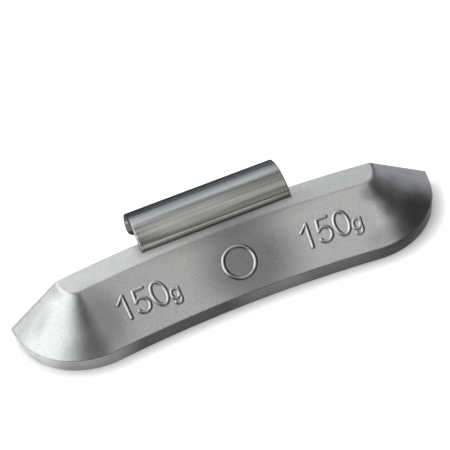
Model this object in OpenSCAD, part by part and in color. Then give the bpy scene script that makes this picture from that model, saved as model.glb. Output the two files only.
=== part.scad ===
// Clip-on balance weight for a heavy vehicle's wheel: a cast bar that follows the rim, with a steel hook.
// The origin is the middle of the flat back face. X runs along the bar, +Y points away from the wheel's
// axle, and +Z is the outward side, where the flat top and the hook are.

/* [Bar] */
// Radius from the wheel's axle to the middle of the bar
curve_r = 291; // [240:1:400]
// Length of the bar along its middle arc
bar_len = 105; // [86:1:140]
// Width of the bar at its parting line
bar_w = 22.5; // [18:0.5:30]
// Height from the back face to the flat top
bar_h = 12.8; // [11:0.1:18]
// Height of the upright wall below the parting line
wall_h = 3.8; // [2:0.1:6]
// How far the wall leans in from the parting line to the back face
wall_draft = 0.4; // [0.1:0.1:1]
// Length along the bar of a rounded front corner
corner_len = 17.8; // [8:0.1:25]
// Length across the bar of a rounded front corner
corner_w = 17.8; // [8:0.1:18]
// Radius of the two rear corners
rear_corner_r = 0.7; // [0.3:0.1:1.2]
// Width of the broken edge round the back face and the flat top
edge_break = 0.25; // [0.1:0.05:0.4]

/* [Flat top] */
// Width of the flat top
top_w = 6.9; // [5.5:0.1:9]
// How far the rear face leans in from the parting line to the flat top
rear_run = 2; // [0.5:0.1:3]
// How far each end slopes in from the parting line to the flat top
end_run = 13; // [6:0.5:18]
// Length along the bar of a rounded top corner
top_corner_len = 3.7; // [1.5:0.1:8]
// Length across the bar of a rounded top corner
top_corner_w = 5.2; // [2:0.1:8]

/* [Clip] */
// Width of the steel strip
clip_w = 38.4; // [25:0.2:46]
// Thickness of the steel strip
clip_t = 1.4; // [1:0.1:1.6]
// Distance of the strip's front face behind the flat top's front edge
clip_setback = 2.7; // [2:0.1:3.2]
// Straight rise of the strip above the flat top
clip_rise = 0.2; // [0.1:0.1:2]
// Outer radius of the bend that turns the strip back
bend_r = 2.2; // [2:0.1:4]
// Outer radius of the arch that reaches over the rim flange
arch_r = 10; // [8.5:0.1:13]
// Outer radius of the lip at the leg's free end
lip_r = 4; // [3:0.1:6]
// Turn of the lip towards the bar, in degrees
lip_turn = 38; // [15:1:60]
// Radius of the lip's two corners
lip_corner_r = 2; // [0.5:0.1:3]

/* [Tang] */
// Depth of the strip inside the bar
tang_depth = 8.4; // [7:0.1:9]
// Number of holes that the cast metal fills
anchor_count = 3; // [1:1:4]
// Diameter of each anchor hole
anchor_d = 4; // [2:0.1:5]
// Distance from one anchor hole to the next
anchor_pitch = 11; // [7:0.5:11]
// Gap left round the strip by the metal's shrinkage
cast_gap = 0.03; // [0.02:0.01:0.1]

/* [Hidden] */
$fn = 96;
corner_steps = 24;
rear_corner_steps = 6;
front_steps = 48;
rear_steps = 72;
smallest_flat = 0.2;
overshoot = 1;
wedge_steps = 6;
wedge_reach = 1.5;
// Where the bend meets the arch, on the long side of a 3-4-5 triangle
meet_turn = atan2(3, 4);

half_len = bar_len / 2;
front_v = -bar_w / 2;
rear_v = bar_w / 2;
top_rear_v = rear_v - rear_run;
top_front_v = top_rear_v - top_w;
top_half_len = half_len - end_run;
slope_h = bar_h - wall_h;

clip_front_y = top_front_v + clip_setback;
bend_z = bar_h + clip_rise;
arch_y = clip_front_y + bend_r + (arch_r - bend_r) * sin(meet_turn);
arch_z = bend_z - (arch_r - bend_r) * cos(meet_turn);
meet_angle = 90 + meet_turn;
leg_outer_y = arch_y + arch_r;
lip_y = leg_outer_y - lip_r;
lip_end_z = arch_z - lip_r * sin(lip_turn);
tang_z = bar_h - tang_depth;
anchor_z = bar_h - tang_depth / 2;

// A place given by its arc length from the middle, its distance outside the middle arc, and its height
function place(s, v, z) =
    let (a = s / curve_r * 180 / PI, r = curve_r + v)
    [r * sin(a), r * cos(a) - curve_r, z];

// One rounded corner as [arc length from the bar's end, distance from the front or rear edge]
function corner(len, w, steps) = [
    for (i = [0 : steps])
        let (q = 90 * i / steps)
        [len * (1 - cos(q)), w * (1 - sin(q))]
];

// A straight edge's inner points, from arc length s0 to s1 at a distance v
function edge(s0, s1, v, steps) = [for (i = [1 : steps - 1]) [s0 + (s1 - s0) * i / steps, v]];

// A list of points in the opposite order
function reversed(points) = [for (i = [len(points) - 1 : -1 : 0]) points[i]];

// A closed ring of points, from the left end by way of the front edge, the right end and the rear edge
function ring(z, half, front, rear, length, w) =
    let (
        c = corner(length, min(w, rear - front - rear_corner_r - smallest_flat), corner_steps),
        r = corner(rear_corner_r, rear_corner_r, rear_corner_steps),
        outline = concat(
            [for (p = c) [-half + p[0], front + p[1]]],
            edge(-half + length, half - length, front, front_steps),
            reversed([for (p = c) [half - p[0], front + p[1]]]),
            [for (p = r) [half - p[0], rear - p[1]]],
            edge(half - rear_corner_r, -half + rear_corner_r, rear, rear_steps),
            reversed([for (p = r) [-half + p[0], rear - p[1]]])
        )
    )
    [for (p = outline) place(p[0], p[1], z)];

// The outline between the parting line, at 0, and the flat top's edge, at 1
function slope_ring(t, z, inset) = ring(
    z,
    half_len + (top_half_len - half_len) * t - inset,
    front_v + (top_front_v - front_v) * t + inset,
    rear_v + (top_rear_v - rear_v) * t - inset,
    corner_len + (top_corner_len - corner_len) * t,
    corner_w + (top_corner_w - corner_w) * t
);

// The outline of the wall, drawn in from the parting line by an inset
function wall_ring(z, inset) = slope_ring(0, z, inset);

// A solid through a list of rings that have the same number of points
module loft(rings) {
    count = len(rings[0]);
    levels = len(rings);
    bottom = [for (i = [0 : count - 1]) i];
    top = [for (i = reversed(bottom)) i + (levels - 1) * count];
    sides = [
        for (k = [0 : levels - 2], i = [0 : count - 1])
            let (a = k * count + i, b = k * count + (i + 1) % count)
            each [[a, a + count, b + count], [a, b + count, b]]
    ];
    polyhedron(points = [for (r = rings) each r], faces = concat([bottom, top], sides), convexity = 4);
}

module bar() {
    loft([
        wall_ring(0, wall_draft + edge_break),
        wall_ring(edge_break, wall_draft),
        slope_ring(0, wall_h, 0),
        slope_ring(1 - edge_break / slope_h, bar_h - edge_break, 0),
        slope_ring(1, bar_h, edge_break)
    ]);
}

// Part of a ring in the plane of the strip's section, from angle a0 round to angle a1
module ring_part(y, z, outer_r, a0, a1) {
    translate([y, z]) intersection() {
        difference() {
            circle(r = outer_r);
            circle(r = outer_r - clip_t);
        }
        polygon(concat([[0, 0]], [
            for (i = [0 : wedge_steps])
                let (a = a0 + (a1 - a0) * i / wedge_steps)
                outer_r * wedge_reach * [cos(a), sin(a)]
        ]));
    }
}

// The strip's section: tang, bend, arch with its leg, and lip
module strip_section() {
    translate([clip_front_y, tang_z]) square([clip_t, bend_z - tang_z]);
    ring_part(clip_front_y + bend_r, bend_z, bend_r, meet_angle, 180);
    ring_part(arch_y, arch_z, arch_r, 0, meet_angle);
    ring_part(lip_y, arch_z, lip_r, -lip_turn, 0);
}

// Pins across the strip at the anchor holes
module anchors(d) {
    for (i = [0 : anchor_count - 1])
        translate([(i - (anchor_count - 1) / 2) * anchor_pitch, clip_front_y + clip_t / 2, anchor_z])
            rotate([90, 0, 0]) cylinder(d = d, h = clip_t + 2 * overshoot, center = true);
}

// What is cut off one corner of the lip, on the side given by 1 or -1
module lip_corner(side) {
    reach = lip_corner_r + overshoot;
    translate([side * (clip_w / 2 - lip_corner_r), leg_outer_y + overshoot, lip_end_z + lip_corner_r])
        rotate([90, 0, 0]) linear_extrude(height = lip_r + 2 * overshoot) difference() {
            translate([side > 0 ? 0 : -reach, -reach]) square(reach);
            circle(r = lip_corner_r);
        }
}

// The room that the strip takes inside the bar, with the cast metal left in its anchor holes
module tang_room() {
    difference() {
        translate([-clip_w / 2 - cast_gap, clip_front_y - cast_gap, tang_z - cast_gap])
            cube([clip_w + 2 * cast_gap, clip_t + 2 * cast_gap, tang_depth + cast_gap + overshoot]);
        anchors(anchor_d - 2 * cast_gap);
    }
}

module weight_body() {
    color([0.66, 0.67, 0.68]) difference() {
        bar();
        tang_room();
    }
}

module rim_clip() {
    color([0.6, 0.62, 0.62]) difference() {
        rotate([90, 0, 90]) linear_extrude(height = clip_w, center = true) strip_section();
        anchors(anchor_d);
        lip_corner(1);
        lip_corner(-1);
    }
}

weight_body();
rim_clip();
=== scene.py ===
"""Looks of a clip-on balance weight: the casting and its marks, the clip, the lamps and the camera."""
import math

import bpy
import numpy as np
from mathutils import Matrix, Vector


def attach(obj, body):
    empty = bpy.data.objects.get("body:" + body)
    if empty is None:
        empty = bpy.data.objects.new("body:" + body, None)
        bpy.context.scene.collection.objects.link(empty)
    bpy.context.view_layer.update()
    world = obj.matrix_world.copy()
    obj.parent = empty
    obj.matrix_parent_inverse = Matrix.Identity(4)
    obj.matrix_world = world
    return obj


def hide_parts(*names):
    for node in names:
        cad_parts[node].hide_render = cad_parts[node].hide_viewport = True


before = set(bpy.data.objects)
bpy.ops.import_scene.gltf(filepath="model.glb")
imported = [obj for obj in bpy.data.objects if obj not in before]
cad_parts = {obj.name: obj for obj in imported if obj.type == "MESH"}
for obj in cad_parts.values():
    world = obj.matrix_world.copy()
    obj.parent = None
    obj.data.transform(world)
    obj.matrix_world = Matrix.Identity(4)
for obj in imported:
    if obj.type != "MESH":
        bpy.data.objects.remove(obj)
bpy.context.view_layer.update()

# All lengths below are in millimetres, and become metres where Blender is given them
MM = 0.001

# Bar
CURVE_R = 291.0
BAR_LEN = 105.0
BAR_W = 22.5
BAR_H = 12.8
WALL_H = 3.8
WALL_DRAFT = 0.4
CORNER = 17.8
TOP_W = 6.9
REAR_RUN = 2.0
END_RUN = 13.0
TOP_CORNER_LEN = 3.7
TOP_CORNER_W = 5.2
REAR_CORNER = 0.7
TOP_ROUND = 0.45
LINE_ROUND = 0.25
FOOT_ROUND = 0.3

# Clip
CLIP_W = 38.4
CLIP_T = 1.4
CLIP_SETBACK = 2.7
CLIP_RISE = 0.2
BEND_R = 2.2
ARCH_R = 10.0
MEET_TURN = math.atan2(3, 4)
LIP_R = 4.0
LIP_TURN = math.radians(38)
LIP_CORNER_R = 2.0
EDGE_ROLL = 0.3
EDGE_BURR = 0.12
TANG_DEPTH = 8.4
ANCHOR_COUNT = 3
ANCHOR_D = 4.0
ANCHOR_PITCH = 11.0
CAST_GAP = 0.03
OVERSHOOT = 1.0

# Raised marks
TEXT_SHIFT = 1.3
TEXT_AT = 23.6
TEXT_UP = 5.45
TEXT_STEP = 0.15
TEXT_MIDDLE = 5.6
TEXT_TURN = math.radians(2.4)
TEXT_LEAN = math.radians(0.7)
TEXT_SHEAR = 0.04
TEXT_SLANT = 0.012
RING_AT = 1.25
RING_UP = 7.8
RING_R = 3.9
MARK_SLOPE = 0.6
MARK_FLAT = 0.06
DIGIT_FOOT = 0.51
GRAM_FOOT = 0.46
RING_FOOT = 0.52

HALF_LEN = BAR_LEN / 2
FRONT_V = -BAR_W / 2
REAR_V = BAR_W / 2
TOP_REAR_V = REAR_V - REAR_RUN
TOP_FRONT_V = TOP_REAR_V - TOP_W
SLOPE_RUN = TOP_FRONT_V - FRONT_V
SLOPE_RISE = BAR_H - WALL_H
SLOPE_LEN = math.hypot(SLOPE_RUN, SLOPE_RISE)
CLIP_FRONT_Y = TOP_FRONT_V + CLIP_SETBACK

# Steps round the bar and up its face, fine enough for the raised marks
FACE_STEP = 0.14
FACE_ROWS = round(SLOPE_LEN / FACE_STEP)
FRONT_STEPS = round((BAR_LEN - 2 * CORNER) / FACE_STEP)
END_STEPS = 5
CORNER_STEPS = 48
REAR_CORNER_STEPS = 5
REAR_STEPS = 60
EDGE_STEPS = 4
TOP_EDGE_STEPS = 5
# Steps along the strip and round its anchor holes
TANG_STEPS = 11
BEND_STEPS = 14
ARCH_STEPS = 72
LIP_STEPS = 16
PIN_STEPS = 48

# Scales of the two noises in the casting, for places in metres
GRAIN_SCALE = 2400
CLOUD_SCALE = 90

# Soft patches of painted shade and light on the bar: the centre, the reach along each axis, and the value at
# the centre
BAR_PAINTED_SHADE_AND_LIGHT = (
    # Painted shade on the flat top in front of the clip, and on the left part of the face
    ((4, 3.8, 12.8), (30, 6, 5), 0.7),
    ((-34, -6.5, 8), (9, 12, 12), 0.62),
    # A streak of painted shade down the left end
    ((-40.7, 3.4, 11.9), (3, 3, 2), 0.82),
    ((-45, 1.3, 9.2), (2.6, 2.2, 2.8), 0.88),
    ((-46.8, 0.4, 7.8), (2.6, 2.2, 2.8), 0.84),
    ((-48.3, -0.5, 6.6), (2.6, 2.2, 2.8), 0.88),
    # Painted shade on the dark side of the right corner, from the flat top down
    ((37.3, -2, 11.3), (4.2, 4, 3.4), 0.5),
    ((38.6, -5.2, 9), (4, 4, 4), 0.82),
    ((40.2, -7.4, 7), (4, 4, 4), 0.86),
    ((36, -11.2, 5), (7, 4, 3.4), 0.76),
    # A painted highlight on the lighter part of the right end
    ((40.5, 0.8, 10.8), (4.5, 4, 4), 1.5),
    ((44.5, -1.8, 8.2), (6, 4, 4), 1.5),
)
# Patches of painted shade above the parting line alone, at the left and the right corner
CORNER_PAINTED_SHADE = (
    ((-42.4, -11, 4.8), (5.5, 5.5, 5), 0.78),
    ((-38.6, -11.8, 5), (6, 6, 5), 0.74),
    ((46.6, -6.2, 4.8), (7.5, 7.5, 6), 0.66),
    ((42.4, -11.2, 4), (6.5, 6.5, 5), 0.62),
)
# Painted shade in the dark middle of the face, and a patch that makes the wall's painted shade lighter in
# its middle
FACE_PAINTED_SHADE = ((3.5, -5.5, 8), (17, 17, 17), 0.45)
WALL_PAINTED_SHADE_EASING = ((5.5, -11.4, 2), (12, 12, 12), 0.66)
# Patches of painted shade and light on the clip: two dark at the right, one light at the left, and a line
# over the foot
CLIP_PAINTED_SHADE_AND_LIGHT = (
    ((14, 8.9, 16.3), (16, 1.7, 3), 0.7),
    ((13, 6.3, 15), (18, 1, 1.2), 0.4),
    ((-16, 6.6, 15), (14, 3.4, 3.2), 1.5),
    ((-2, 5.75, 14.6), (30, 0.8, 0.8), 0.65),
)


def new_object(name, points, faces, smooth=None):
    """A mesh object from points in millimetres, with a smooth or flat mark for each face."""
    mesh = bpy.data.meshes.new(name)
    mesh.from_pydata([tuple(p) for p in np.asarray(points) * MM], [], faces)
    mesh.polygons.foreach_set("use_smooth", smooth or [False] * len(faces))
    obj = bpy.data.objects.new(name, mesh)
    bpy.context.scene.collection.objects.link(obj)
    return obj


def box_between(name, low, high):
    """A box between two corners."""
    points = [(x, y, z) for z in (low[2], high[2]) for y in (low[1], high[1]) for x in (low[0], high[0])]
    faces = [(0, 2, 3, 1), (4, 5, 7, 6), (0, 1, 5, 4), (2, 6, 7, 3), (0, 4, 6, 2), (1, 3, 7, 5)]
    return new_object(name, points, faces)


def anchor_pins(diameter):
    """Round pins across the strip, one at each anchor hole."""
    points = []
    faces = []
    near_y = CLIP_FRONT_Y - OVERSHOOT
    far_y = CLIP_FRONT_Y + CLIP_T + OVERSHOOT
    middle_z = BAR_H - TANG_DEPTH / 2
    for k in range(ANCHOR_COUNT):
        first = len(points)
        x = (k - (ANCHOR_COUNT - 1) / 2) * ANCHOR_PITCH
        for y in (near_y, far_y):
            for i in range(PIN_STEPS):
                a = 2 * math.pi * i / PIN_STEPS
                points.append((x + diameter / 2 * math.cos(a), y, middle_z + diameter / 2 * math.sin(a)))
        for i in range(PIN_STEPS):
            j = (i + 1) % PIN_STEPS
            faces.append((first + i, first + PIN_STEPS + i, first + PIN_STEPS + j, first + j))
        faces.append(tuple(range(first, first + PIN_STEPS)))
        faces.append(tuple(range(first + 2 * PIN_STEPS - 1, first + PIN_STEPS - 1, -1)))
    return new_object("pins", points, faces)


def cut(obj, tool):
    """Cuts one mesh object out of another."""
    modifier = obj.modifiers.new("cut", "BOOLEAN")
    modifier.operation = "DIFFERENCE"
    modifier.solver = "EXACT"
    modifier.object = tool
    whole = obj.data
    obj.data = bpy.data.meshes.new_from_object(obj.evaluated_get(bpy.context.evaluated_depsgraph_get()))
    obj.modifiers.clear()
    bpy.data.meshes.remove(whole)
    bpy.data.objects.remove(tool)


def tang_room():
    """The room that the strip takes inside the bar, with the cast metal left in its anchor holes."""
    low = (-CLIP_W / 2 - CAST_GAP, CLIP_FRONT_Y - CAST_GAP, BAR_H - TANG_DEPTH - CAST_GAP)
    high = (CLIP_W / 2 + CAST_GAP, CLIP_FRONT_Y + CLIP_T + CAST_GAP, BAR_H + OVERSHOOT)
    room = box_between("tang_room", low, high)
    cut(room, anchor_pins(ANCHOR_D - 2 * CAST_GAP))
    return room


def place(s, v, z):
    """Points given by arc length from the middle, distance outside the middle arc, and height."""
    a = np.asarray(s) / CURVE_R
    r = CURVE_R + np.asarray(v)
    return np.stack([r * np.sin(a), r * np.cos(a) - CURVE_R, np.broadcast_to(z, a.shape)], axis=-1)


def outline(half, front, rear, corner_len, corner_w):
    """A closed outline as arc lengths and distances, from the left end round by the front."""
    q = np.linspace(0, math.pi / 2, CORNER_STEPS + 1)
    corner_s = -half + corner_len * (1 - np.cos(q))
    corner_v = front + corner_w * (1 - np.sin(q))
    end_v = np.linspace(rear - REAR_CORNER, front + corner_w, END_STEPS + 1)[:-1]
    left_s = np.concatenate([np.full(END_STEPS, -half), corner_s])
    left_v = np.concatenate([end_v, corner_v])
    front_s = np.linspace(-half + corner_len, half - corner_len, FRONT_STEPS + 1)[1:-1]
    front_v = np.full(len(front_s), front)
    q = np.linspace(0, math.pi / 2, REAR_CORNER_STEPS + 1)[1:]
    round_s = half - REAR_CORNER * (1 - np.cos(q))
    round_v = rear - REAR_CORNER * (1 - np.sin(q))
    back_s = np.linspace(half - REAR_CORNER, -half + REAR_CORNER, REAR_STEPS + 1)[1:-1]
    back_v = np.full(len(back_s), rear)
    s = np.concatenate([left_s, front_s, -left_s[::-1], round_s, back_s, -round_s[::-1]])
    v = np.concatenate([left_v, front_v, left_v[::-1], round_v, back_v, round_v[::-1]])
    return s, v


def ring(t, z, inset):
    """The bar's outline from the parting line, at 0, to the flat top, at 1, as arc lengths and points."""
    half = HALF_LEN - END_RUN * t - inset
    front = FRONT_V + SLOPE_RUN * t + inset
    rear = REAR_V - REAR_RUN * t - inset
    corner_len = CORNER + (TOP_CORNER_LEN - CORNER) * t
    corner_w = CORNER + (TOP_CORNER_W - CORNER) * t
    s, v = outline(half, front, rear, corner_len, corner_w)
    return s, place(s, v, z)


def toward(start, goal, distance):
    """The points that lie a distance from start on the way to goal."""
    way = goal - start
    return start + way * (distance / np.linalg.norm(way, axis=-1, keepdims=True))


def rounded(before, edge, after, steps):
    """Rows of points that round an edge off, between a point before it and one after it."""
    rows = []
    for k in np.linspace(0, 1, steps + 1):
        rows.append((1 - k) ** 2 * before + 2 * k * (1 - k) * edge + k ** 2 * after)
    return rows


def ellipse_arc(cx, cy, rx, ry, a0, a1, steps=20):
    """A stroke along an ellipse, from angle a0 to a1 in degrees."""
    a = np.radians(np.linspace(a0, a1, steps + 1))
    return np.stack([cx + rx * np.cos(a), cy + ry * np.sin(a)], axis=-1)


def text_strokes():
    """The strokes of 150 and of g, from the foot of the 1, along and up the face."""
    one = np.array([(-1.65, 4.1), (0.1, 5.75), (0.0, 0.0)])
    five_top = np.array([(5.3, 5.75), (2.8, 5.75), (2.55, 3.05)])
    five_bowl = ellipse_arc(3.85, 1.8, 1.65, 1.8, 142, -150)
    zero = ellipse_arc(8.45, 2.9, 1.75, 2.9, 0, 360, 40)
    # The zero leans a little to the left
    zero[:, 0] -= 0.06 * (zero[:, 1] - 2.9)
    gram_bowl = ellipse_arc(11.9, 1.5, 0.9, 1.2, 0, 360, 28)
    gram_stem = np.array([(12.95, 2.7), (12.95, 0.1)])
    gram_hook = ellipse_arc(12.05, 0.1, 0.9, 1.1, 0, -150)
    return [one, five_top, five_bowl, zero], [gram_bowl, gram_stem, gram_hook]


def distance_to(strokes, x, y):
    """The shortest distance from each point to the strokes."""
    best = np.full(x.shape, np.inf)
    for line in strokes:
        for (ax, ay), (bx, by) in zip(line[:-1], line[1:]):
            dx, dy = bx - ax, by - ay
            k = np.clip(((x - ax) * dx + (y - ay) * dy) / (dx * dx + dy * dy + 1e-9), 0, 1)
            best = np.minimum(best, np.hypot(x - ax - k * dx, y - ay - k * dy))
    return best


def ridge(distance, foot):
    """The height of a raised line at a distance from its middle, with the foot of its flank at another."""
    return MARK_SLOPE * np.clip(foot - distance, 0, foot - MARK_FLAT)


def mark_height(s, u):
    """The height of the raised marks at places along and up the sloped face."""
    height = ridge(np.abs(np.hypot(s - RING_AT, u - RING_UP) - RING_R), RING_FOOT)
    for side in (-1, 1):
        turn = side * TEXT_TURN + TEXT_LEAN
        ds = s - TEXT_SHIFT - side * TEXT_AT
        du = u - TEXT_UP - side * TEXT_STEP
        x = ds * math.cos(turn) + du * math.sin(turn) + TEXT_MIDDLE
        y = du * math.cos(turn) - ds * math.sin(turn)
        x -= (side * TEXT_SHEAR + TEXT_SLANT) * y
        for strokes, foot in zip(text_strokes(), (DIGIT_FOOT, GRAM_FOOT)):
            height = np.maximum(height, ridge(distance_to(strokes, x, y), foot))
    return height


def ring_middle():
    """The place of the raised ring's middle."""
    t = RING_UP / SLOPE_LEN
    return tuple(place(RING_AT, FRONT_V + SLOPE_RUN * t, WALL_H + SLOPE_RISE * t))


def bar_points():
    """Rows of points up the bar, from the back face to the flat top, and the arc lengths of the last row."""
    under = ring(0, 0.0, WALL_DRAFT + FOOT_ROUND)[1]
    foot = ring(0, 0.0, WALL_DRAFT)[1]
    line_s, line = ring(0, WALL_H, 0.0)
    top_s, top = ring(1, BAR_H, 0.0)
    over = ring(1, BAR_H, TOP_ROUND)[1]

    rows = rounded(under, foot, toward(foot, line, FOOT_ROUND), EDGE_STEPS)
    rows += rounded(toward(line, foot, LINE_ROUND), line, toward(line, top, LINE_ROUND), EDGE_STEPS)

    radial = place(line_s, 1.0, 0.0) - place(line_s, 0.0, 0.0)
    normal = (np.array([0, 0, SLOPE_RUN]) - radial * SLOPE_RISE) / SLOPE_LEN
    length = np.linalg.norm(top - line, axis=-1)
    face_start = END_STEPS + CORNER_STEPS
    on_face = np.zeros(len(line_s), dtype=bool)
    on_face[face_start:face_start + FRONT_STEPS + 1] = True
    for k in np.linspace(0, 1, FACE_ROWS + 1)[1:-1]:
        up = LINE_ROUND + (length - LINE_ROUND - TOP_ROUND) * k
        t = (up / length)[:, None]
        points = line + (top - line) * t
        lift = np.where(on_face, mark_height(line_s + (top_s - line_s) * t[:, 0], up), 0)
        rows.append(points + normal * lift[:, None])
    rows += rounded(toward(top, line, TOP_ROUND), top, over, TOP_EDGE_STEPS)
    return rows, top_s


def cap(front, rear, arc_length, upward):
    """Triangles between two chains of points that both run from left to right."""
    faces = []
    i = j = 0
    while i < len(front) - 1 or j < len(rear) - 1:
        if j == len(rear) - 1 or i < len(front) - 1 and arc_length[front[i + 1]] <= arc_length[rear[j + 1]]:
            face = (front[i], front[i + 1], rear[j])
            i += 1
        else:
            face = (front[i], rear[j + 1], rear[j])
            j += 1
        faces.append(face if upward else face[::-1])
    return faces


def cast_bar():
    """The bar with its rounded edges and raised marks."""
    rows, arc_length = bar_points()
    count = len(rows[0])
    faces = []
    for k in range(len(rows) - 1):
        for i in range(count):
            j = (i + 1) % count
            faces.append((k * count + i, k * count + j, (k + 1) * count + j, (k + 1) * count + i))
    n_smooth = len(faces)
    lengths = np.tile(arc_length, len(rows))
    front_count = 2 * (END_STEPS + CORNER_STEPS) + FRONT_STEPS + 1
    for first, upward in ((0, False), ((len(rows) - 1) * count, True)):
        front = [first + i for i in range(front_count)]
        rear = [first] + [first + i for i in range(count - 1, front_count - 2, -1)]
        faces += cap(front, rear, lengths, upward)
    smooth = [i < n_smooth for i in range(len(faces))]
    return new_object("cast_bar", np.concatenate(rows), faces, smooth)


def strip_path():
    """The strip's middle line from the tang to the lip, as points, and the directions across it."""
    bend_z = BAR_H + CLIP_RISE
    arch_y = CLIP_FRONT_Y + BEND_R + (ARCH_R - BEND_R) * math.sin(MEET_TURN)
    arch_z = bend_z - (ARCH_R - BEND_R) * math.cos(MEET_TURN)
    meet = math.pi / 2 + MEET_TURN
    half_t = CLIP_T / 2
    points = []
    normals = []

    def arc(cy, cz, r, a0, a1, steps):
        """Adds a part of the path along an arc whose outer radius is r, from angle a0 to a1."""
        for a in np.linspace(a0, a1, steps + 1):
            points.append((cy + (r - half_t) * math.cos(a), cz + (r - half_t) * math.sin(a)))
            normals.append((math.cos(a), math.sin(a)))

    for z in np.linspace(BAR_H - TANG_DEPTH, bend_z, TANG_STEPS + 1)[:-1]:
        points.append((CLIP_FRONT_Y + half_t, z))
        normals.append((-1.0, 0.0))
    arc(CLIP_FRONT_Y + BEND_R, bend_z, BEND_R, math.pi, meet, BEND_STEPS)
    arc(arch_y, arch_z, ARCH_R, meet, 0, ARCH_STEPS)
    arc(arch_y + ARCH_R - LIP_R, arch_z, LIP_R, 0, -LIP_TURN, LIP_STEPS)
    # Two arcs share the point where they meet, and it is kept once
    keep = [0] + [i for i in range(1, len(points)) if math.dist(points[i], points[i - 1]) > 1e-6]
    return np.array(points)[keep], np.array(normals)[keep]


def strip_edge():
    """The strip's section round its four edges: the side, the distance past it, and the distance across."""
    half_t = CLIP_T / 2
    outer_edges = ((EDGE_ROLL, 1, 1, 0), (EDGE_ROLL, -1, 1, 90))
    inner_edges = ((EDGE_BURR, -1, -1, 180), (EDGE_BURR, 1, -1, 270))
    section = []
    for r, side, face, start in outer_edges + inner_edges:
        for a in np.radians(np.linspace(start, start + 90, EDGE_STEPS + 1)):
            section.append((side, -r + r * math.cos(a) * side, face * (half_t - r) + r * math.sin(a)))
    return section


def strip_clip():
    """The clip: a rolled strip with sheared edges, bent into a hook."""
    points, normals = strip_path()
    section = strip_edge()
    lip_end_z = points[-1][1]
    corners = []
    for (y, z), (ny, nz) in zip(points, normals):
        half_w = CLIP_W / 2
        below = lip_end_z + LIP_CORNER_R - z
        if below > 0 and y > points[:, 0].mean():
            half_w += math.sqrt(max(LIP_CORNER_R ** 2 - below ** 2, 0)) - LIP_CORNER_R
        for side, past, across in section:
            corners.append((side * (half_w + past), y + ny * across, z + nz * across))
    count = len(section)
    faces = []
    for k in range(len(points) - 1):
        for i in range(count):
            j = (i + 1) % count
            faces.append((k * count + i, (k + 1) * count + i, (k + 1) * count + j, k * count + j))
    last = (len(points) - 1) * count
    faces.append(tuple(range(count)))
    faces.append(tuple(range(last + count - 1, last - 1, -1)))
    smooth = [len(face) == 4 for face in faces]
    return new_object("strip_clip", corners, faces, smooth)


def new_material(name):
    """A new material, its tree and its shader."""
    mat = bpy.data.materials.new(name)
    mat.use_nodes = True
    return mat, mat.node_tree, mat.node_tree.nodes["Principled BSDF"]


def place_in_object(tree):
    """The place of a point in the object, as a vector."""
    return tree.nodes.new("ShaderNodeTexCoord").outputs["Object"]


def mesh_normal(tree):
    """The normal of the mesh, without fine relief."""
    return tree.nodes.new("ShaderNodeNewGeometry").outputs["Normal"]


def split(tree, vector):
    """The X, Y and Z of a vector."""
    made = tree.nodes.new("ShaderNodeSeparateXYZ")
    tree.links.new(vector, made.inputs["Vector"])
    return tuple(made.outputs)


def fade(tree, source, start, end, low=0.0, high=1.0):
    """A smooth change from low to high, while the source goes from start to end."""
    made = tree.nodes.new("ShaderNodeMapRange")
    made.interpolation_type = "SMOOTHSTEP"
    for name, value in (("From Min", start), ("From Max", end), ("To Min", low), ("To Max", high)):
        made.inputs[name].default_value = value
    tree.links.new(source, made.inputs["Value"])
    return made.outputs["Result"]


def fade_between(tree, place_along, start, end, low=0.0, high=1.0):
    """A smooth change from low to high between two places in millimetres."""
    return fade(tree, place_along, start * MM, end * MM, low, high)


def noise(tree, vector, scale, detail):
    """A noise that mostly stays between 0.3 and 0.7."""
    made = tree.nodes.new("ShaderNodeTexNoise")
    made.inputs["Scale"].default_value = scale
    made.inputs["Detail"].default_value = detail
    tree.links.new(vector, made.inputs["Vector"])
    return made.outputs["Fac"]


def varied(tree, noisy, low, high):
    """A value that goes from low to high with a noise."""
    return fade(tree, noisy, 0.3, 0.7, low, high)


def combined(tree, operation, first, second):
    """The result of a sum on two sources, or on a source and a number."""
    made = tree.nodes.new("ShaderNodeMath")
    made.operation = operation
    for socket, value in zip(made.inputs, (first, second)):
        if isinstance(value, (int, float)):
            socket.default_value = value
        else:
            tree.links.new(value, socket)
    return made.outputs["Value"]


def product(tree, *factors):
    """The product of sources and numbers."""
    result = factors[0]
    for factor in factors[1:]:
        result = combined(tree, "MULTIPLY", result, factor)
    return result


def rest_of(tree, source):
    """What is left of 1 when a source is taken off."""
    return combined(tree, "SUBTRACT", 1, source)


def size_of(tree, source):
    """A source without its sign."""
    return combined(tree, "ABSOLUTE", source, 0)


def moved_and_scaled(tree, vector, centre, reach):
    """A vector counted from a centre, in units of a reach along each axis, both in millimetres."""
    moved = tree.nodes.new("ShaderNodeVectorMath")
    moved.operation = "SUBTRACT"
    moved.inputs[1].default_value = Vector(centre) * MM
    tree.links.new(vector, moved.inputs[0])
    scaled = tree.nodes.new("ShaderNodeVectorMath")
    scaled.operation = "DIVIDE"
    scaled.inputs[1].default_value = Vector(reach) * MM
    tree.links.new(moved.outputs["Vector"], scaled.inputs[0])
    return scaled.outputs["Vector"]


def length_from(tree, vector, centre, reach):
    """The distance from a centre, in units of a reach along each axis."""
    made = tree.nodes.new("ShaderNodeVectorMath")
    made.operation = "LENGTH"
    tree.links.new(moved_and_scaled(tree, vector, centre, reach), made.inputs[0])
    return made.outputs["Value"]


def patch(tree, vector, centre, reach, value):
    """A soft patch: its value up to a quarter of its reach, and 1 from its reach outwards."""
    return fade(tree, length_from(tree, vector, centre, reach), 0.25, 1, value, 1)


def streaks(tree, vector, length, width, detail):
    """A noise drawn out along the bar into streaks of a length and a width."""
    return noise(tree, moved_and_scaled(tree, vector, (0, 0, 0), (length, width, width)), 1, detail)


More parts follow.
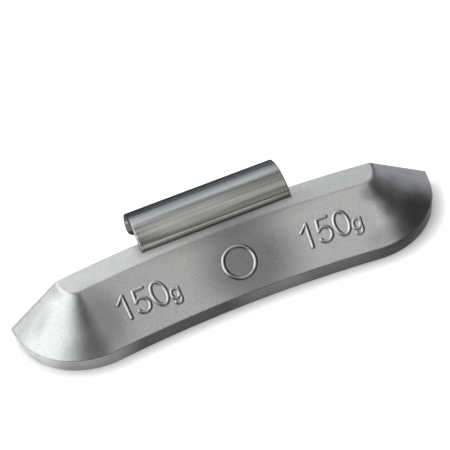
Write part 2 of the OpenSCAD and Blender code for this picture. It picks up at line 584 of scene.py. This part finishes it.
def tinted(tree, tone, colour):
    """A colour with the brightness of a tone."""
    made = tree.nodes.new("ShaderNodeVectorMath")
    made.operation = "SCALE"
    if isinstance(colour, tuple):
        made.inputs[0].default_value = colour
    else:
        tree.links.new(colour, made.inputs[0])
    tree.links.new(tone, made.inputs["Scale"])
    return made.outputs["Vector"]


def bumped(tree, height, strength, distance):
    """The normal of a surface with fine relief, its depth in millimetres."""
    made = tree.nodes.new("ShaderNodeBump")
    made.inputs["Strength"].default_value = strength
    made.inputs["Distance"].default_value = distance * MM
    tree.links.new(height, made.inputs["Height"])
    return made.outputs["Normal"]


def wall_painted_shade(tree, at):
    """Painted shade: how much darker the wall is than the face, hardly at all at its left end, and less in
    the middle.
    """
    x, _, z = split(tree, at)
    shade = fade_between(tree, x, -50, -44, 0, 0.5)
    for start, end, change in ((-34, -26, 0.33), (-6, 6, -0.07), (22, 46, 0.15)):
        shade = combined(tree, "ADD", shade, fade_between(tree, x, start, end, 0, change))
    shade = product(tree, shade, patch(tree, at, *WALL_PAINTED_SHADE_EASING))
    return combined(tree, "ADD", shade, fade_between(tree, z, 0.4, WALL_H, -0.04, 0.035))


def mark_painted_shade(tree, at, below):
    """Painted shade: a darker face round the ring, lifted on the ring itself and on the left flanks of the
    raised marks, and darker right and lower flanks.
    """
    x, _, _ = split(tree, at)
    normal_x, normal_y, _ = split(tree, mesh_normal(tree))
    left_flank = fade(tree, normal_x, -0.45, -0.15, 1, 0)
    right_flank_shade = fade(tree, normal_x, 0.2, 0.45, 0, 0.4)
    right_flank_shade = product(tree, right_flank_shade, fade_between(tree, x, 33.5, 34.5, 1, 0))
    low_flank_shade = combined(tree, "MAXIMUM", below, fade(tree, normal_y, -0.85, -0.65, 0.4, 1))
    from_ring = combined(tree, "SUBTRACT", length_from(tree, at, ring_middle(), (RING_R,) * 3), 1)
    on_ring = fade(tree, size_of(tree, from_ring), 0.05, 0.12, 0.95, 0)
    bright = combined(tree, "MAXIMUM", left_flank, on_ring)
    painted_dip = combined(tree, "MAXIMUM", patch(tree, at, *FACE_PAINTED_SHADE), bright)
    return product(tree, painted_dip, rest_of(tree, right_flank_shade), low_flank_shade)


def clip_foot(tree, at):
    """1 on the flat top from just in front of the clip backwards, and 0 elsewhere."""
    x, y, z = split(tree, at)
    between_sides = fade_between(tree, size_of(tree, x), CLIP_W / 2 - 1, CLIP_W / 2 + 1, 1, 0)
    backwards = fade_between(tree, y, 2.2, 4.6)
    on_top = fade_between(tree, z, BAR_H - 0.4, BAR_H - 0.1)
    return product(tree, between_sides, backwards, on_top)


def cast_metal():
    """Satin cast zinc: a fine grain, cloudy tone and gloss, painted shade and light in patches and on the
    wall and marks, and painted light at the clip's foot.
    """
    mat, tree, shader = new_material("cast_metal")
    at = place_in_object(tree)
    grain = noise(tree, at, GRAIN_SCALE, 3)
    cloud = noise(tree, at, CLOUD_SCALE, 4)
    below = fade_between(tree, split(tree, at)[2], WALL_H - 0.1, WALL_H + 0.1, 1, 0)
    foot_painted_light = clip_foot(tree, at)

    tone = product(tree, varied(tree, cloud, 0.58, 0.66), varied(tree, grain, 0.93, 1.07))
    # Painted shade: the wall darker than the face
    tone = product(tree, tone, rest_of(tree, product(tree, below, wall_painted_shade(tree, at))))
    # Soft patches of painted shade and light on the bar
    for painted_bar_patch in BAR_PAINTED_SHADE_AND_LIGHT:
        tone = product(tree, tone, patch(tree, at, *painted_bar_patch))
    # Patches of painted shade above the parting line, at the corners
    for painted_corner_patch in CORNER_PAINTED_SHADE:
        tone = product(tree, tone, combined(tree, "MAXIMUM", below, patch(tree, at, *painted_corner_patch)))
    # Painted shade round the ring and on the marks' right and lower flanks
    tone = product(tree, tone, mark_painted_shade(tree, at, below))
    # Painted light at the clip's foot: the top there is brighter and less metallic
    tone = product(tree, tone, combined(tree, "ADD", 1, product(tree, foot_painted_light, 0.5)))

    tree.links.new(tinted(tree, tone, (1.0, 1.0, 0.99)), shader.inputs["Base Color"])
    tree.links.new(rest_of(tree, product(tree, foot_painted_light, 0.9)), shader.inputs["Metallic"])
    tree.links.new(varied(tree, cloud, 0.32, 0.4), shader.inputs["Roughness"])
    tree.links.new(bumped(tree, grain, 0.4, 0.1), shader.inputs["Normal"])
    return mat


def sheared_painted_shade(tree, at, normal_x):
    """Painted shade on the strip's two sheared edges, most of all at the back."""
    _, y, _ = split(tree, at)
    on_edge = fade(tree, size_of(tree, normal_x), 0.6, 0.9)
    return product(tree, on_edge, fade_between(tree, y, 8, 12, 0.35, 0.75))


def steel_reflection_tint(tree, normal_y):
    """A painted reflection tint: slightly warm where the strip faces forward, and cool where it faces up or
    back.
    """
    tint = tree.nodes.new("ShaderNodeMix")
    tint.data_type = "RGBA"
    factor, warm, cool = tint.inputs[0], tint.inputs[6], tint.inputs[7]
    tree.links.new(fade(tree, normal_y, -0.3, 0), factor)
    warm.default_value = (1.0, 0.99, 0.94, 1)
    cool.default_value = (0.95, 0.99, 1.0, 1)
    return tint.outputs[2]


def rolled_steel():
    """Rolled spring steel: fine streaks along the bar, and painted shade on its foot, back and sheared
    edges, with patches of painted shade and light.
    """
    mat, tree, shader = new_material("clip_steel")
    at = place_in_object(tree)
    normal_x, normal_y, _ = split(tree, mesh_normal(tree))
    streak = streaks(tree, at, 60, 0.8, 3)
    band = streaks(tree, at, 70, 2.4, 2)

    tone = product(tree, varied(tree, streak, 0.42, 0.58), fade(tree, band, 0.35, 0.65, 0.8, 1.15))
    # Painted shade: darker where the foot faces forward, and where the strip turns up and back
    for start, end, low, high in ((-0.955, -0.9, 0.38, 1), (-0.2, 0.3, 1, 0.6), (0.35, 0.65, 1, 0.7)):
        tone = product(tree, tone, fade(tree, normal_y, start, end, low, high))
    # Patches of painted shade and light
    for painted_clip_patch in CLIP_PAINTED_SHADE_AND_LIGHT:
        tone = product(tree, tone, patch(tree, at, *painted_clip_patch))
    # Painted shade on the sheared edges
    tone = product(tree, tone, rest_of(tree, sheared_painted_shade(tree, at, normal_x)))

    # The colour carries a painted reflection tint
    tree.links.new(tinted(tree, tone, steel_reflection_tint(tree, normal_y)), shader.inputs["Base Color"])
    shader.inputs["Specular Tint"].default_value = (0.15, 0.15, 0.15, 1)
    shader.inputs["Metallic"].default_value = 1.0
    tree.links.new(varied(tree, streak, 0.22, 0.36), shader.inputs["Roughness"])
    tree.links.new(bumped(tree, streak, 0.3, 0.03), shader.inputs["Normal"])
    return mat


def floor():
    """A plain pale floor that stays white around the shadow of the part."""
    size = 1500.0
    shadow_reach = 4.0
    shadow_power = 1.2
    brightness = 0.65
    corners = [(-size, -size, 0), (size, -size, 0), (size, size, 0), (-size, size, 0)]
    obj = new_object("floor", corners, [(0, 1, 2, 3)])
    mat, tree, shader = new_material("floor")
    shader.inputs["Base Color"].default_value = (0.9, 0.9, 0.9, 1)
    shader.inputs["Roughness"].default_value = 0.9
    openness = tree.nodes.new("ShaderNodeAmbientOcclusion")
    openness.inputs["Distance"].default_value = shadow_reach * MM
    rays = tree.nodes.new("ShaderNodeLightPath").outputs
    seen = combined(tree, "MAXIMUM", rays["Is Camera Ray"], rays["Is Glossy Ray"])
    seen = combined(tree, "MAXIMUM", seen, rays["Is Transmission Ray"])
    # The glow dims near the part with its ambient occlusion, a painted contact shadow
    glow = product(tree, combined(tree, "POWER", openness.outputs["AO"], shadow_power), seen, brightness)
    tree.links.new(glow, shader.inputs["Emission Strength"])
    shader.inputs["Emission Color"].default_value = (1, 1, 1, 1)
    obj.data.materials.append(mat)


def softbox(name, at, size, radiance, colour=(1, 1, 1), towards=(0, 0, 0)):
    """A soft rectangular lamp at a place, turned to a point, with a given brightness of its surface."""
    light = bpy.data.lights.new(name, "AREA")
    light.shape = "RECTANGLE"
    light.size, light.size_y = (length * MM for length in size)
    light.energy = radiance * math.pi * light.size * light.size_y
    light.color = colour
    obj = bpy.data.objects.new(name, light)
    obj.location = Vector(at) * MM
    obj.rotation_euler = (Vector(at) - Vector(towards)).to_track_quat("Z", "Y").to_euler()
    bpy.context.scene.collection.objects.link(obj)


def around(azimuth, elevation, distance):
    """A place at a distance from the origin: azimuth 0 is +Y and 90 is +X, elevation is above the floor."""
    az, el = math.radians(azimuth), math.radians(elevation)
    out = distance * math.cos(el)
    return out * math.sin(az), out * math.cos(az), distance * math.sin(el)


def lighting():
    """A dim white room, and the soft lamps that the metal reflects."""
    world = bpy.data.worlds.new("studio")
    world.use_nodes = True
    background = world.node_tree.nodes["Background"]
    background.inputs["Color"].default_value = (1, 1, 1, 1)
    background.inputs["Strength"].default_value = 0.04
    bpy.context.scene.world = world
    cool, warm = (0.96, 0.99, 1.0), (1.0, 0.995, 0.965)
    softbox("left_softbox", around(-86, 42, 600), (850, 460), 1.65, cool)
    softbox("back_softbox", around(0, 36, 700), (560, 420), 1.15, cool)
    softbox("top_softbox", (90, 65, 365), (260, 290), 0.62, warm, (90, 65, 0))
    softbox("front_softbox", (105, -220, 365), (230, 280), 0.67, (1, 1, 1), (105, -220, 0))
    softbox("band_softbox", (130, -165, 360), (90, 130), 0.9, (1, 1, 1), (130, -165, 0))
    softbox("low_softbox", around(57, 13, 600), (240, 190), 0.46, (0.86, 0.9, 1.0))
    softbox("fill_softbox", around(172, 20, 600), (300, 200), 1.15)
    softbox("corner_softbox", around(-35, 45, 900), (600, 500), 1.1)


def camera():
    """The camera of the photograph: its direction, its tilt and its distance from the aim point."""
    azimuth = math.radians(11.551)
    elevation = math.radians(42.651)
    roll = math.radians(12.926)
    distance = 409.0
    aim = Vector((1.79, 4.86, 11.88))
    out = math.cos(elevation)
    forward = Vector((math.sin(azimuth) * out, math.cos(azimuth) * out, -math.sin(elevation)))
    level = Vector((math.cos(azimuth), -math.sin(azimuth), 0))
    upright = level.cross(forward)
    right = level * math.cos(roll) - upright * math.sin(roll)
    up = level * math.sin(roll) + upright * math.cos(roll)
    data = bpy.data.cameras.new("camera")
    data.sensor_width = 36
    data.lens = 137.5
    data.clip_start = 10 * MM
    data.clip_end = 10000 * MM
    obj = bpy.data.objects.new("camera", data)
    axes = Matrix((right, up, -forward)).transposed().to_4x4()
    obj.matrix_world = Matrix.Translation((aim - forward * distance) * MM) @ axes
    bpy.context.scene.collection.objects.link(obj)
    bpy.context.scene.camera = obj


bar = cast_bar()
cut(bar, tang_room())
bar.data.materials.append(cast_metal())
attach(bar, "root")
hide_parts("weight_body")

clip = strip_clip()
cut(clip, anchor_pins(ANCHOR_D))
clip.data.materials.append(rolled_steel())
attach(clip, "root")
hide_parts("rim_clip")

floor()
lighting()
camera()
bpy.context.scene.view_settings.view_transform = "Standard"
